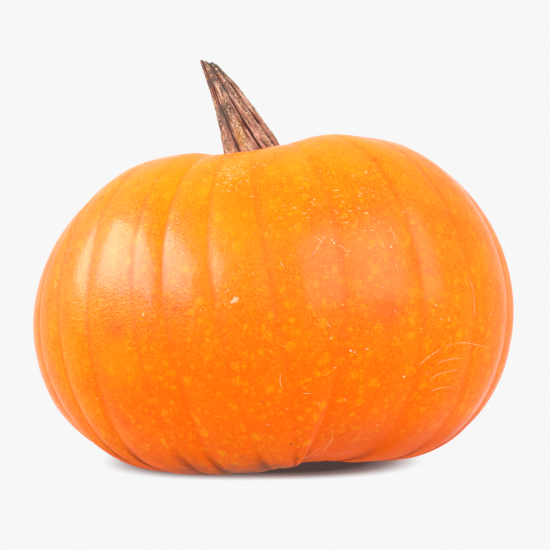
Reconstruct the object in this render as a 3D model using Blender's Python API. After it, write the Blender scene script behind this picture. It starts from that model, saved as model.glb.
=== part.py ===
"""A small ribbed pumpkin with its dry stem, in metres with +Z up.

The fruit is one closed skin. It starts as a UV sphere whose columns are gathered into ribs and
whose rows follow a flattened profile, dished at the crown and at the blossom end. It leans a
little to the left and away from the viewer, less so at the underside, where its own weight has
pressed a small flat spot. The stem is a fluted stalk, lofted from a wide foot to a slanted cut,
and it stands on a flat seat in the middle of the crown.

Azimuths turn from +X towards +Y, so 270 degrees faces the viewer. Polar angles run from 0 at the
stem to 180 degrees at the blossom end.
"""

import math
import random
from collections import namedtuple

import bmesh
import bpy
from mathutils import Matrix, Vector

# Profile of the fruit before the ribs are cut into it
WAIST_RADIUS = 0.0981
HALF_HEIGHT = 0.0728
CROWN_LIFT = 0.0055
FULLNESS = 0.737
FULLNESS_SKEW = 0.095
OVALNESS = 0.026
RIGHT_SHOULDER = 0.049
CROWN_DISH_DEPTH = 0.0155
CROWN_DISH_WIDTH = 0.039
BLOSSOM_DISH_DEPTH = 0.0147
BLOSSOM_DISH_WIDTH = 0.0389

# How the fruit sits
CENTRE_HEIGHT = 0.0611
LEAN_LEFT = math.radians(5.8)
LEAN_BACK = math.radians(9.75)
SETTLED_SHARE = 0.475
SETTLE_FROM = math.radians(95.0)
SETTLE_OVER = math.radians(60.0)

# Grooves between the ribs. Azimuths are at the waist. Sway and bow bend a groove's line, in
# degrees. High is the extra fullness along the line near the crown, and passes evenly from one
# line to the next. Low is that of the whole rib after the line, at the underside, where the ribs
# lie at levels of their own. The back ribs hang a little lower on the right.
Groove = namedtuple("Groove", "azimuth sway bow depth high low")
FRONT_GROOVES = (
    Groove(196.0, -1.0, -3.0, 0.0014, 0.0001, 0.0001),
    Groove(209.0, -0.5, -8.0, 0.0019, 0.0018, 0.0004),
    Groove(221.0, -2.0, -7.0, 0.0024, 0.0019, 0.0010),
    Groove(236.0, 1.0, 0.0, 0.0007, 0.0002, 0.0010),
    Groove(244.0, 1.5, 0.0, 0.0028, -0.0020, 0.0004),
    Groove(256.5, 4.0, 3.0, 0.0019, -0.0024, -0.0012),
    Groove(270.3, 4.5, 1.0, 0.0023, -0.0025, -0.0017),
    Groove(286.5, -4.0, -3.0, 0.0038, -0.0008, -0.0042),
    Groove(307.0, -0.5, 0.0, 0.0026, 0.0022, -0.0013),
    Groove(323.5, 2.0, 2.0, 0.0016, 0.0018, -0.0003),
    Groove(346.0, 0.0, 6.0, 0.0030, 0.0008, -0.0008),
)
BACK_GROOVE_COUNT = 12
BACK_AZIMUTH_JITTER = 2.5
BACK_DEPTHS = (0.0016, 0.0028)
BACK_HANG = 0.0016
BACK_HANG_TOWARDS = 350.0
BACK_SEED = 11
GROOVE_EDGE = 0.035
GROOVE_POWER = 3.0
DEPTH_AT_WAIST = 0.60
DEPTH_GAIN_BELOW = 0.45
DEPTH_LOSS_ABOVE = 0.25
GAIN_POWER = 1.5
LINE_REACH = 60.0
LINE_LIMIT = 1.2
HIGH_FROM, HIGH_OVER = 80.0, 45.0
LOW_FROM, LOW_OVER = 112.0, 35.0
LOW_BLEND = 0.3
GROOVES_FADE_IN = 0.80
RIBS_FADE_IN = 0.3

# Mesh of the fruit
COLUMNS_PER_RIB = 6
COLUMN_CROWDING = 0.08
FRUIT_ROWS = 32
SEAT_POLAR = math.pi / FRUIT_ROWS
PROFILE_STEP = 0.001

# Stem, with its path measured from the middle of the seat
STEM_GAP = 0.0004
STEM_PATH = (
    Vector((0.0, 0.0, 0.0)),
    Vector((-0.0069, 0.0020, 0.0148)),
    Vector((-0.0103, 0.0034, 0.0258)),
    Vector((-0.0206, 0.0030, 0.0434)),
)
STEM_FOOT_RADIUS = 0.0130
STEM_TIP_RADIUS = 0.0026
STEM_TAPER = 0.8
STEM_RIDGES = 8
RIDGE_UNEVENNESS = 0.10
FLUTE_DEPTH_FOOT = 0.24
FLUTE_DEPTH_TIP = 0.14
FLUTE_SHARPNESS = 0.75
STEM_TWIST = math.radians(28.0)
STEM_RINGS = 18
STEM_SIDES = 48
SEAT_BLEND = 0.25
CUT_FROM = 0.72
CUT_SLANT = 1.2
CUT_HOLLOW = 0.0009
CUT_RIM_SHARE = 0.6

SKIN_COLOUR = (0.95, 0.20, 0.004, 1.0)
STEM_COLOUR = (0.235, 0.125, 0.075, 1.0)


def clear_scene():
    """Remove whatever the file starts with."""
    for thing in list(bpy.data.objects):
        bpy.data.objects.remove(thing, do_unlink=True)


def principled(name, colour, roughness):
    """A plain non-metal material."""
    material = bpy.data.materials.new(name)
    material.use_nodes = True
    shader = material.node_tree.nodes["Principled BSDF"]
    shader.inputs["Base Color"].default_value = colour
    shader.inputs["Roughness"].default_value = roughness
    shader.inputs["Metallic"].default_value = 0.0
    material.diffuse_color = colour
    return material


def smoothstep(value):
    """Ease from 0 to 1 with level ends."""
    value = min(max(value, 0.0), 1.0)
    return value * value * (3.0 - 2.0 * value)


def all_grooves():
    """The grooves in turn order: the front ones as drawn, the back ones spread evenly with jitter."""
    chance = random.Random(BACK_SEED)
    first, last = FRONT_GROOVES[0], FRONT_GROOVES[-1]
    spacing = (first.azimuth + 360.0 - last.azimuth) / (BACK_GROOVE_COUNT + 1)
    back = []
    for number in range(1, BACK_GROOVE_COUNT + 1):
        azimuth = last.azimuth + spacing * number
        azimuth += chance.uniform(-BACK_AZIMUTH_JITTER, BACK_AZIMUTH_JITTER)
        hang = BACK_HANG * math.cos(math.radians(azimuth - BACK_HANG_TOWARDS))
        back.append(Groove(azimuth, 0.0, 0.0, chance.uniform(*BACK_DEPTHS), 0.0, hang))
    return list(FRONT_GROOVES) + back


GROOVES = all_grooves()
RIB_COUNT = len(GROOVES)


def groove_azimuth(index, polar):
    """Azimuth in degrees of a groove's line, which goes on counting past the last groove."""
    lap, index = divmod(index, RIB_COUNT)
    groove = GROOVES[index]
    level = (math.degrees(polar) - 90.0) / LINE_REACH
    level = min(max(level, -LINE_LIMIT), LINE_LIMIT)
    return groove.azimuth + groove.sway * level + groove.bow * level * level + 360.0 * lap


def envelope(azimuth, polar):
    """Radius and height of the smooth profile, with a level seat for the stem."""
    sine = math.sin(polar)
    seated = max(polar, SEAT_POLAR)
    cosine, seated_sine = math.cos(seated), math.sin(seated)
    girth = WAIST_RADIUS * (1.0 + OVALNESS * math.cos(2.0 * azimuth))
    radius = girth * max(sine, 0.0) ** (FULLNESS + FULLNESS_SKEW * math.cos(polar))
    seated_radius = girth * max(seated_sine, 0.0) ** (FULLNESS + FULLNESS_SKEW * cosine)
    height = HALF_HEIGHT * cosine + CROWN_LIFT * cosine * cosine
    height *= 1.0 + RIGHT_SHOULDER * math.cos(azimuth) * sine * sine
    if cosine > 0.0:
        height -= CROWN_DISH_DEPTH * math.exp(-((seated_radius / CROWN_DISH_WIDTH) ** 2))
    else:
        height += BLOSSOM_DISH_DEPTH * math.exp(-((seated_radius / BLOSSOM_DISH_WIDTH) ** 2))
    return radius, height


def groove_notch(distance):
    """Depth share of a groove at a distance from it, as a share of the rib, with a round bottom."""
    rounded = math.sqrt(distance * distance + GROOVE_EDGE * GROOVE_EDGE) - GROOVE_EDGE
    return (1.0 - min(rounded, 1.0)) ** GROOVE_POWER


def depth_gain(polar):
    """How deep the grooves are, deeper below the waist and shallower above it."""
    cosine = math.cos(polar)
    below = DEPTH_GAIN_BELOW * max(-cosine, 0.0) ** GAIN_POWER
    above = DEPTH_LOSS_ABOVE * max(cosine, 0.0) ** GAIN_POWER
    return DEPTH_AT_WAIST + below - above


def low_level(rib, share):
    """Level of a rib at the underside, blended with its neighbours' levels across the grooves."""
    level = GROOVES[rib].low
    rise_before = (GROOVES[rib - 1].low - level) / 2.0
    rise_after = (GROOVES[(rib + 1) % RIB_COUNT].low - level) / 2.0
    level += rise_before * (1.0 - smoothstep(share / LOW_BLEND))
    level += rise_after * (1.0 - smoothstep((1.0 - share) / LOW_BLEND))
    return level


def rib_relief(rib, share, polar):
    """How far the skin stands off the profile, for a share across the rib from 0 to 1."""
    groove, following = GROOVES[rib], GROOVES[(rib + 1) % RIB_COUNT]
    degrees = math.degrees(polar)
    clear_of_seat = math.sin(polar) - math.sin(SEAT_POLAR)
    notch = groove.depth * groove_notch(share) + following.depth * groove_notch(1.0 - share)
    notch *= depth_gain(polar) * smoothstep(clear_of_seat / GROOVES_FADE_IN)
    high = groove.high + (following.high - groove.high) * share
    fullness = high * smoothstep((HIGH_FROM - degrees) / HIGH_OVER)
    fullness += low_level(rib, share) * smoothstep((degrees - LOW_FROM) / LOW_OVER)
    return fullness * smoothstep(clear_of_seat / RIBS_FADE_IN) - notch


def lean(point, polar):
    """Tip a point of the upright fruit to the left and back, less below the waist."""
    share = 1.0 - SETTLED_SHARE * smoothstep((polar - SETTLE_FROM) / SETTLE_OVER)
    to_left = Matrix.Rotation(-LEAN_LEFT * share, 3, "Y")
    to_back = Matrix.Rotation(-LEAN_BACK * share, 3, "X")
    return to_back @ to_left @ point


def skin_point(rib, share, polar):
    """A point of the fruit's skin where it stands, above or on the ground."""
    start, end = groove_azimuth(rib, polar), groove_azimuth(rib + 1, polar)
    azimuth = math.radians(start + (end - start) * share)
    radius, height = envelope(azimuth, polar)
    before = envelope(azimuth, max(polar - PROFILE_STEP, 0.0))
    after = envelope(azimuth, min(polar + PROFILE_STEP, math.pi))
    run, drop = after[0] - before[0], after[1] - before[1]
    length = math.hypot(run, drop)
    relief = rib_relief(rib, share, polar)
    if length > 0.0:
        radius = max(radius - drop / length * relief, 0.0)
        height += run / length * relief
    upright = Vector((radius * math.cos(azimuth), radius * math.sin(azimuth), height))
    point = lean(upright, polar) + Vector((0.0, 0.0, CENTRE_HEIGHT))
    point.z = max(point.z, 0.0)
    return point


def fruit_mesh():
    """A UV sphere whose columns become ribs and whose rows follow the profile."""
    columns = RIB_COUNT * COLUMNS_PER_RIB
    shape = bmesh.new()
    bmesh.ops.create_uvsphere(shape, u_segments=columns, v_segments=FRUIT_ROWS, radius=1.0)
    for vertex in shape.verts:
        polar = math.acos(min(max(vertex.co.z, -1.0), 1.0))
        turn = math.atan2(vertex.co.y, vertex.co.x) / math.tau
        rib, column = divmod(round(turn * columns) % columns, COLUMNS_PER_RIB)
        share = column / COLUMNS_PER_RIB
        share -= COLUMN_CROWDING * math.sin(math.tau * share)
        vertex.co = skin_point(rib, share, polar)
    mesh = bpy.data.meshes.new("fruit")
    shape.to_mesh(mesh)
    shape.free()
    return mesh


def stem_centre(progress):
    """Point and direction on the stem's path, a cubic curve."""
    rest = 1.0 - progress
    start, first, second, end = STEM_PATH
    point = (start * rest ** 3 + first * 3.0 * rest ** 2 * progress
             + second * 3.0 * rest * progress ** 2 + end * progress ** 3)
    heading = ((first - start) * rest ** 2 + (second - first) * 2.0 * rest * progress
               + (end - second) * progress ** 2)
    return point, heading.normalized()


def stem_ring(progress, seat, seat_normal):
    """One fluted cross section of the stem, as a list of points."""
    centre, heading = stem_centre(progress)
    heading = seat_normal.lerp(heading, smoothstep(progress / SEAT_BLEND)).normalized()
    across = Vector((0.0, 1.0, 0.0)).cross(heading).normalized()
    away = heading.cross(across)
    taper = (1.0 - progress) ** STEM_TAPER
    radius = STEM_TIP_RADIUS + (STEM_FOOT_RADIUS - STEM_TIP_RADIUS) * taper
    depth = FLUTE_DEPTH_TIP + (FLUTE_DEPTH_FOOT - FLUTE_DEPTH_TIP) * taper
    slant = CUT_SLANT * smoothstep((progress - CUT_FROM) / (1.0 - CUT_FROM))
    points = []
    for side in range(STEM_SIDES):
        angle = math.tau * side / STEM_SIDES
        ridge_angle = angle + STEM_TWIST * progress
        ridge_angle += RIDGE_UNEVENNESS * math.sin(2.0 * ridge_angle + 0.7)
        ridge = abs(math.cos(STEM_RIDGES / 2.0 * ridge_angle)) ** FLUTE_SHARPNESS
        reach = radius * (1.0 - depth * (1.0 - ridge))
        sideways = reach * math.cos(angle)
        point = centre + across * sideways + away * reach * math.sin(angle)
        points.append(seat + point - heading * slant * sideways)
    return points


def stem_mesh(seat, seat_normal):
    """Loft the stem's rings, close the foot and hollow the cut end slightly."""
    shape = bmesh.new()
    rings = [stem_ring(number / STEM_RINGS, seat, seat_normal) for number in range(STEM_RINGS + 1)]
    tip = sum(rings[-1], Vector()) / STEM_SIDES
    heading = stem_centre(1.0)[1]
    rings.append([tip.lerp(point, CUT_RIM_SHARE) - heading * CUT_HOLLOW for point in rings[-1]])
    loops = [[shape.verts.new(point) for point in ring] for ring in rings]
    for lower, upper in zip(loops, loops[1:]):
        for side in range(STEM_SIDES):
            following = (side + 1) % STEM_SIDES
            shape.faces.new((lower[side], lower[following], upper[following], upper[side]))
    foot = shape.verts.new(sum(rings[0], Vector()) / STEM_SIDES)
    pith = shape.verts.new(tip - heading * CUT_HOLLOW)
    for side in range(STEM_SIDES):
        following = (side + 1) % STEM_SIDES
        shape.faces.new((foot, loops[0][following], loops[0][side]))
        shape.faces.new((pith, loops[-1][side], loops[-1][following]))
    bmesh.ops.recalc_face_normals(shape, faces=shape.faces)
    mesh = bpy.data.meshes.new("stem")
    shape.to_mesh(mesh)
    shape.free()
    return mesh


def centre_on_ground(meshes):
    """Move the meshes sideways together, so that the middle of their box is over the origin."""
    points = [vertex.co for mesh in meshes for vertex in mesh.vertices]
    shift = Vector((0.0, 0.0, 0.0))
    for axis in (0, 1):
        values = [point[axis] for point in points]
        shift[axis] = -(min(values) + max(values)) / 2.0
    for mesh in meshes:
        mesh.transform(Matrix.Translation(shift))


def place(mesh, name, material, collection):
    """Make the object that shows a mesh."""
    mesh.materials.append(material)
    mesh.shade_smooth()
    piece = bpy.data.objects.new(name, mesh)
    collection.objects.link(piece)


def main():
    clear_scene()
    collection = bpy.data.collections.new("pumpkin")
    bpy.context.scene.collection.children.link(collection)
    fruit = fruit_mesh()
    crown = skin_point(0, 0.0, 0.0)
    seat_normal = lean(Vector((0.0, 0.0, 1.0)), 0.0)
    stem = stem_mesh(crown + seat_normal * STEM_GAP, seat_normal)
    centre_on_ground([fruit, stem])
    place(fruit, "fruit", principled("pumpkin_skin", SKIN_COLOUR, 0.42), collection)
    place(stem, "stem", principled("dry_stem", STEM_COLOUR, 0.8), collection)


main()
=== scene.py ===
# %% [markdown]
# # A small ribbed pumpkin with its dry stem
#
# A pumpkin is one hollow berry. It grows round its stem in ribs, leans to the side that it lies
# on, and keeps a dry, fluted stalk where it was cut from the vine. The CAD solid holds its size
# and its main forms. This lesson runs the same rule on a much finer mesh, and then adds what the
# eye looks for: lumps, healed scratches, corky flecks, freckled skin and a fibrous stem.

import math
import random
from collections import namedtuple

import bmesh
import bpy
from mathutils import Matrix, Vector


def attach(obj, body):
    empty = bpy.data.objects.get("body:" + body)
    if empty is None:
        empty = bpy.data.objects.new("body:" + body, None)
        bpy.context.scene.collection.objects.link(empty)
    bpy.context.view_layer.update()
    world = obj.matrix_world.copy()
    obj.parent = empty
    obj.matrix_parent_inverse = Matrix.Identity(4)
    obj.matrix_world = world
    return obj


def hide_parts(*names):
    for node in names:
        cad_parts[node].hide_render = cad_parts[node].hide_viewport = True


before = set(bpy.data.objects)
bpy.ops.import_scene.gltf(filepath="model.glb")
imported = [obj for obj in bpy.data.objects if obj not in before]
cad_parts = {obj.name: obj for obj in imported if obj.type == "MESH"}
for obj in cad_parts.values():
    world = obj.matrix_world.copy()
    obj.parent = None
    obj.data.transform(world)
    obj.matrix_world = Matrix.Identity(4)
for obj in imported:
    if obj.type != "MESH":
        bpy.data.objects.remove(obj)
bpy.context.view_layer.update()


def in_mm(place):
    """A point in millimetres, short enough to print."""
    return [round(1000.0 * value, 1) for value in place]


# %% [markdown]
# ## The camera
#
# The photograph is taken almost from the side, a little above the waist, with a long lens. A long
# lens flattens the ribs towards the edge, so the distance matters as much as the angle. The camera
# aims at a point over the middle of the fruit's foot, which puts the object where the picture has
# it without any lens shift.

# %% Place the camera
CAMERA_AIM = Vector((0.0006, 0.0, 0.0794))
CAMERA_ELEVATION = math.radians(4.5)
CAMERA_DISTANCE = 1.0
CAMERA_LENS = 156.5
CAMERA_SENSOR = 36.0


def add_camera():
    """A camera that looks along +Y and slightly down at the aim point."""
    data = bpy.data.cameras.new("front_view")
    data.lens = CAMERA_LENS
    data.sensor_width = CAMERA_SENSOR
    camera = bpy.data.objects.new("front_view", data)
    back = Vector((0.0, -math.cos(CAMERA_ELEVATION), math.sin(CAMERA_ELEVATION)))
    camera.location = CAMERA_AIM + back * CAMERA_DISTANCE
    camera.rotation_euler = (-back).to_track_quat("-Z", "Y").to_euler()
    bpy.context.scene.collection.objects.link(camera)
    bpy.context.scene.camera = camera
    return camera


camera = add_camera()
bpy.context.scene.view_settings.view_transform = "Standard"
print("camera at", in_mm(camera.location), "mm")

# %% [markdown]
# ## Arithmetic on sockets
#
# Both the shapes and the finishes here are formulas. Written node by node a formula can't be
# read, so one small class wraps a socket and lets Python's operators add the Math nodes. Every
# other node comes from one method, which takes the node's type, its settings and its sockets.

# %% Wrap a socket and a node tree
class Value:
    """What a socket gives, ready for arithmetic."""

    def __init__(self, tree, socket):
        self.tree = tree
        self.socket = socket

    def __add__(self, other):
        return self.tree.maths("ADD", self, other)

    def __sub__(self, other):
        return self.tree.maths("SUBTRACT", self, other)

    def __rsub__(self, other):
        return self.tree.maths("SUBTRACT", other, self)

    def __mul__(self, other):
        return self.tree.maths("MULTIPLY", self, other)

    def __truediv__(self, other):
        return self.tree.maths("DIVIDE", self, other)

    def __rtruediv__(self, other):
        return self.tree.maths("DIVIDE", other, self)

    def __pow__(self, other):
        return self.tree.maths("POWER", self, other)

    __radd__ = __add__
    __rmul__ = __mul__


def is_vector(term):
    """True for a vector or colour socket and for a plain vector."""
    if isinstance(term, Value):
        return term.socket.type in ("VECTOR", "RGBA")
    return isinstance(term, (tuple, Vector))


def find_socket(sockets, key):
    """A socket by its number, or the first one in use with that name."""
    if isinstance(key, int):
        return sockets[key]
    return next(socket for socket in sockets if socket.name == key and socket.enabled)


class Tree:
    """A node tree that is filled by formulas."""

    def __init__(self, group):
        self.group = group

    def add(self, kind, settings=None, sockets=None, take=0):
        """Add a node, set it up, fill its sockets, and return the outputs that are asked for."""
        node = self.group.nodes.new(kind)
        for name, value in (settings or {}).items():
            setattr(node, name, value)
        for key, value in (sockets or {}).items():
            self.fill(find_socket(node.inputs, key), value)
        if isinstance(take, tuple):
            return [Value(self, find_socket(node.outputs, key)) for key in take]
        return Value(self, find_socket(node.outputs, take))

    def fill(self, socket, value):
        """Link a socket, or several into one, or set its value."""
        if isinstance(value, list):
            for single in value:
                self.fill(socket, single)
        elif isinstance(value, Value):
            self.group.links.new(value.socket, socket)
        else:
            socket.default_value = value

    def maths(self, operation, *terms):
        """A Math node, or a Vector Math node if a term is a vector."""
        if not any(is_vector(term) for term in terms):
            return self.add("ShaderNodeMath", {"operation": operation}, dict(enumerate(terms)))
        if operation == "MULTIPLY" and not all(is_vector(term) for term in terms):
            vector, number = sorted(terms, key=is_vector, reverse=True)
            return self.add("ShaderNodeVectorMath", {"operation": "SCALE"}, {0: vector, "Scale": number})
        return self.add("ShaderNodeVectorMath", {"operation": operation}, dict(enumerate(terms)))

    def sine(self, angle):
        return self.maths("SINE", angle)

    def cosine(self, angle):
        return self.maths("COSINE", angle)

    def most(self, first, second):
        return self.maths("MAXIMUM", first, second)

    def least(self, first, second):
        return self.maths("MINIMUM", first, second)

    def spot(self, run, rise):
        """1 on a place and fading all round like a bell, from the distances in two directions."""
        return self.maths("EXPONENT", (run * run + rise * rise) * -1.0)

    def ease(self, value, start, end, low=0.0, high=1.0):
        """Go from low to high with level ends as a value passes from start to end."""
        return self.add("ShaderNodeMapRange", {"interpolation_type": "SMOOTHSTEP"},
                        {"Value": value, 1: start, 2: end, 3: low, 4: high})

    def ramp(self, value, start, end, low=0.0, high=1.0):
        """Go from low to high in a straight line as a value passes from start to end."""
        return self.add("ShaderNodeMapRange", {}, {"Value": value, 1: start, 2: end, 3: low, 4: high})

    def noise(self, place, scale, detail=2.0, roughness=0.5):
        """Soft noise from 0 to 1, about a half on average."""
        return self.add("ShaderNodeTexNoise", {}, {"Vector": place, "Scale": scale, "Detail": detail,
                                                   "Roughness": roughness}, "Fac")

    def vector(self, x, y, z):
        return self.add("ShaderNodeCombineXYZ", {}, {0: x, 1: y, 2: z})

    def split(self, vector):
        return self.add("ShaderNodeSeparateXYZ", {}, {0: vector}, (0, 1, 2))


print("socket arithmetic is ready")

# %% [markdown]
# ## Trees that make shapes
#
# A Geometry Nodes tree with named inputs is a reusable machine: the same tree makes a taller or a
# rounder fruit from other numbers. Its modifier takes each number by the socket's identifier. Once
# the tree has run, its result is kept as a plain mesh, because a finished piece shouldn't depend
# on a live modifier.

# %% Wrap a shape tree
SOCKET_KINDS = {
    int: "NodeSocketInt", float: "NodeSocketFloat", Vector: "NodeSocketVector",
    bpy.types.Object: "NodeSocketObject", bpy.types.Material: "NodeSocketMaterial",
}
WELD_DISTANCE = 0.000002


class ShapeTree(Tree):
    """A Geometry Nodes tree whose sizes are named inputs."""

    def __init__(self, name, sizes):
        super().__init__(bpy.data.node_groups.new(name, "GeometryNodeTree"))
        interface = self.group.interface
        interface.new_socket("Geometry", in_out="INPUT", socket_type="NodeSocketGeometry")
        self.values = {}
        for label, value in sizes.items():
            socket = interface.new_socket(label, in_out="INPUT", socket_type=SOCKET_KINDS[type(value)])
            self.values[socket.identifier] = value
        interface.new_socket("Geometry", in_out="OUTPUT", socket_type="NodeSocketGeometry")
        entry = self.group.nodes.new("NodeGroupInput")
        self.given = {socket.name: Value(self, socket) for socket in entry.outputs if socket.name}

    def position(self):
        return self.add("GeometryNodeInputPosition")

    def read(self, label, data_type="FLOAT"):
        """An attribute of the geometry that is being worked on."""
        return self.add("GeometryNodeInputNamedAttribute", {"data_type": data_type}, {"Name": label})

    def store(self, geometry, label, value, data_type="FLOAT"):
        """Keep a value on the points, for a later step or for the finish."""
        return self.add("GeometryNodeStoreNamedAttribute", {"data_type": data_type, "domain": "POINT"},
                        {"Geometry": geometry, "Name": label, "Value": value})

    def grid(self, across, along):
        """A unit grid, with its two coordinates from 0 to 1."""
        mesh = self.add("GeometryNodeMeshGrid", {}, {"Size X": 1.0, "Size Y": 1.0,
                                                     "Vertices X": across, "Vertices Y": along}, "Mesh")
        x, y, _ = self.split(self.position())
        return mesh, x + 0.5, y + 0.5

    def set_position(self, geometry, place):
        return self.add("GeometryNodeSetPosition", {}, {"Geometry": geometry, "Position": place})

    def weld(self, geometry):
        """Close the seam and the poles of a grid that was wrapped round."""
        return self.add("GeometryNodeMergeByDistance", {},
                        {"Geometry": geometry, "Distance": WELD_DISTANCE})

    def end(self, geometry, material):
        """Make instances real, give the material, and hand the result over."""
        real = self.add("GeometryNodeRealizeInstances", {}, {"Geometry": geometry})
        dressed = self.add("GeometryNodeSetMaterial", {}, {"Geometry": real, "Material": material})
        exit_node = self.group.nodes.new("NodeGroupOutput")
        self.group.links.new(dressed.socket, exit_node.inputs[0])

    def make(self, name, mesh):
        """Run the tree on a mesh and keep the result as a plain, smooth-shaded mesh object."""
        piece = bpy.data.objects.new(name, mesh)
        bpy.context.scene.collection.objects.link(piece)
        modifier = piece.modifiers.new("shape", "NODES")
        modifier.node_group = self.group
        for identifier, value in self.values.items():
            modifier[identifier] = value
        graph = bpy.context.evaluated_depsgraph_get()
        result = bpy.data.meshes.new_from_object(piece.evaluated_get(graph), depsgraph=graph,
                                                 preserve_all_data_layers=True)
        piece.modifiers.remove(modifier)
        piece.data = result
        result.name = name
        result.shade_smooth()
        result.calc_loop_triangles()
        print(name, "has", len(result.loop_triangles), "triangles")
        return piece


def point_mesh(name, points, edges=()):
    """A mesh of points and edges only, for a tree to start from."""
    mesh = bpy.data.meshes.new(name)
    mesh.from_pydata(points, edges, [])
    return mesh


# %% [markdown]
# ## Trees that make finishes
#
# A finish is a Principled BSDF fed by formulas on the object's own coordinates and on attributes
# that the shape trees stored. Values that are the same all over go straight onto the shader.

# %% Wrap a finish
class Finish(Tree):
    """A material whose nodes are written as formulas."""

    def __init__(self, name, constants):
        self.material = bpy.data.materials.new(name)
        self.material.use_nodes = True
        super().__init__(self.material.node_tree)
        self.shader = self.group.nodes["Principled BSDF"]
        for label, value in constants.items():
            self.shader.inputs[label].default_value = value
        self.place = self.add("ShaderNodeTexCoord", take="Object")

    def read(self, label, take="Fac"):
        return self.add("ShaderNodeAttribute", {"attribute_name": label}, {}, take)

    def mix(self, factor, first, second):
        """A colour between two colours, or between a colour and a socket."""
        return self.add("ShaderNodeMix", {"data_type": "RGBA"}, {0: factor, 6: first, 7: second}, 2)

    def cells(self, place, scale):
        """Distance to the nearest random point, and a random number for each point."""
        distance, colour = self.add("ShaderNodeTexVoronoi", {}, {"Vector": place, "Scale": scale},
                                    ("Distance", "Color"))
        red = self.add("ShaderNodeSeparateColor", {}, {0: colour}, 0)
        return distance, red

    def jitter(self, place, scale, reach):
        """A small random step aside, so that what is drawn from it has a wandering edge."""
        colour = self.add("ShaderNodeTexNoise", {}, {"Vector": place, "Scale": scale}, "Color")
        return (colour - (0.5, 0.5, 0.5)) * reach

    def bump(self, height, distance):
        """Feed the shader's normal from a height between 0 and 1."""
        normal = self.add("ShaderNodeBump", {}, {"Height": height, "Distance": distance}, "Normal")
        self.fill(self.shader.inputs["Normal"], normal)

    def feed(self, label, value):
        self.fill(self.shader.inputs[label], value)


print("finish helpers are ready")

# %% [markdown]
# ## The skin's finish
#
# A ripe skin isn't one orange. It is yellower round the crown and redder underneath, partly its
# own tone and partly painted light from above, and painted light makes it yellower towards the
# left and right sides. Every groove holds a deeper line, and soft yellow freckles in three sizes
# lie under the wax with a fine red net between them. Low down, painted shade deepens the red,
# darkens the creases and lays a grey brown contact shade where the ribs meet the ground.
# A thin wax makes the highlights soft edged, and a fine grain breaks them up.

# %% Skin colours
SKIN_CROWN = (0.96, 0.278, 0.0003, 1.0)
SKIN_WAIST = (0.96, 0.178, 0.0003, 1.0)
SKIN_UNDER = (0.96, 0.146, 0.0002, 1.0)
SKIN_FRECKLE = (0.97, 0.350, 0.0008, 1.0)
SKIN_BLUSH = (0.90, 0.085, 0.0060, 1.0)
SKIN_GROOVE = (0.94, 0.110, 0.0006, 1.0)
SKIN_NET = (0.93, 0.100, 0.0002, 1.0)
# Painted shade low down: a deeper red, dark creases and a grey brown contact shade.
SKIN_LOW_SHADE = (0.86, 0.085, 0.0010, 1.0)
SKIN_CREASE_SHADE = (0.30, 0.020, 0.004, 1.0)
SKIN_CONTACT_SHADE = (0.16, 0.085, 0.050, 1.0)
SKIN_CONSTANTS = {
    "IOR": 1.09, "Specular IOR Level": 0.5, "Coat IOR": 1.09, "Coat Roughness": 0.12,
    "Subsurface Weight": 0.12, "Subsurface Scale": 0.004, "Subsurface Radius": (1.0, 0.35, 0.08),
}
Patch = namedtuple("Patch", "x height reach strength colour")
PATCHES = (
    Patch(-0.0180, 0.0980, 0.0220, 0.40, SKIN_CROWN), Patch(-0.0376, 0.0735, 0.0024, 0.60, SKIN_BLUSH),
    Patch(-0.0610, 0.0644, 0.0034, 0.60, SKIN_BLUSH), Patch(0.0440, 0.0731, 0.0060, 0.60, SKIN_BLUSH),
)
Freckles = namedtuple("Freckles", "scale largest strength")
FRECKLES = (Freckles(150.0, 0.40, 0.50), Freckles(290.0, 0.50, 0.44), Freckles(560.0, 0.55, 0.30))
NET_SCALE = 1050.0
GRAIN_SCALE = 1500.0
RIPPLE_SCALE = 260.0
SKIN_BUMP = 0.00025
# Crown to underside change: partly the skin's own tone, partly painted light from above.
CROWN_TO_WAIST = (0.55, 1.30)
WAIST_TO_UNDER = (1.45, 2.45)
# Painted light: the skin is made yellower towards the lit left and right sides.
PAINTED_LIGHT_LEFT = (-0.040, -0.085)
PAINTED_LIGHT_RIGHT = (0.030, 0.085)
SHOULDER_HEIGHTS = (0.085, 0.115)
SHOULDER_SHIFT = 0.027
PATCH_FRONT = (-0.010, -0.030)
# Heights of the painted shade low down, in the creases and where the ribs meet the ground.
LOW_SHADE_HEIGHTS = (0.018, 0.002)
CREASE_SHADE_HEIGHTS = (0.018, 0.006)
CONTACT_SHADE_HEIGHTS = (0.0140, 0.0035)
DULL_HEIGHTS = (0.030, 0.006)
print(len(FRECKLES), "sizes of freckles and", len(PATCHES), "patches")


# %% The skin's colours in layers
def skin_ground(skin, polar):
    """The slow change from yellow crown to red underside, partly tone and partly painted light, and
    painted light on both sides.
    """
    patch = skin.noise(skin.place, 34.0, 3.0)
    stripe = skin.noise(skin.read("streak", "Vector"), 14.0, 2.0)
    level = polar + (patch - 0.5) * 0.7 + (stripe - 0.5) * 0.5
    colour = skin.mix(skin.ease(level, *CROWN_TO_WAIST), SKIN_CROWN, SKIN_WAIST)
    colour = skin.mix(skin.ease(level, *WAIST_TO_UNDER), colour, SKIN_UNDER)
    x, _, height = skin.split(skin.place)
    side = x + (patch - 0.5) * 0.04 - skin.ease(height, *SHOULDER_HEIGHTS) * SHOULDER_SHIFT
    # painted light: yellower towards the lit left and right sides
    painted_light = skin.ease(side, *PAINTED_LIGHT_LEFT) * 0.55 + skin.ease(side, *PAINTED_LIGHT_RIGHT) * 0.30
    return skin.mix(painted_light, colour, SKIN_CROWN)


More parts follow.
